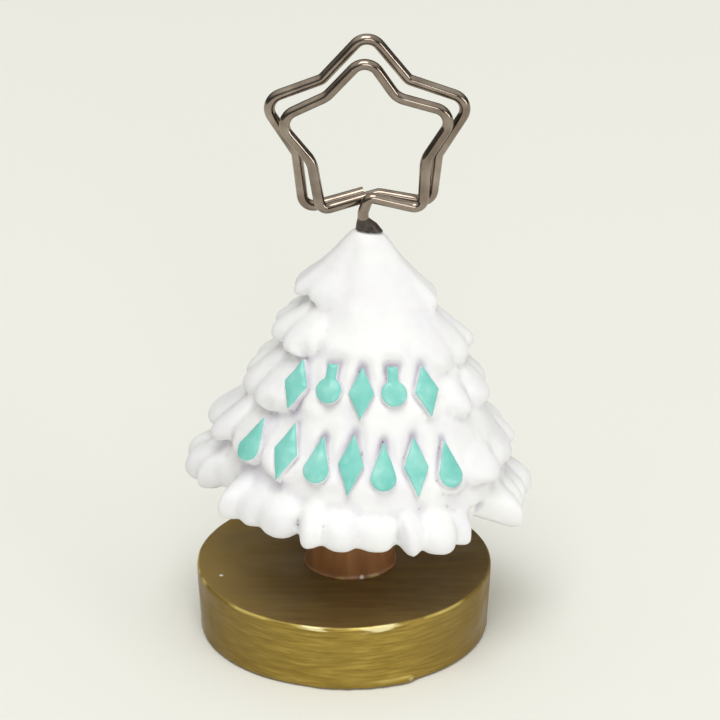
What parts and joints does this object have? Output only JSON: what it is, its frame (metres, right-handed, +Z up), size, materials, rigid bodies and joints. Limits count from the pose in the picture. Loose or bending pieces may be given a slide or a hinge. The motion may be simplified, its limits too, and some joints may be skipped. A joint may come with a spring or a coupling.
{
  "type": "photo clip stand",
  "caption": "Free-standing photo clip: a sprung double star of bent wire on a cast snow-covered fir, which stands on a round foot and grips a photograph or card between the two loops.",
  "frame": {"origin": "middle of the underside that the stand rests on, on the foot's own axis", "axes": "+Z up, -Y towards the front with the raised ornaments, +X to the right seen from the front"},
  "size_m": [0.0563, 0.0477, 0.0992],
  "materials": {
    "gold_paint": "brushed gold paint on cast resin, burnished along the top edge",
    "felt": "short black felt",
    "brown_paint": "satin brown paint",
    "white_paint": "white satin paint on cast resin",
    "turquoise_paint": "hand-brushed turquoise paint on the faces, white sides",
    "dark_glue": "set epoxy, glossy",
    "plated_wire": "nickel-plated spring wire"
  },
  "bodies": {
    "stand": {"base_disc": "gold_paint", "felt_pad": "felt", "trunk": "brown_paint", "tree": "white_paint", "ornaments_upper": "turquoise_paint", "ornaments_lower": "turquoise_paint", "glue_collar": "dark_glue", "clip_front": "plated_wire"},
    "back_loop": {"clip_back": "plated_wire"}
  },
  "joints": [
    {"name": "loop_spring", "type": "hinge", "parent": "stand", "child": "back_loop", "pos_m": [0.00387, 0.0022, 0.07263], "axis": [-0.9367, -0.2983, -0.1832], "range_deg": [0, 8], "stiffness_Nm_per_rad": 0.3}
  ]
}
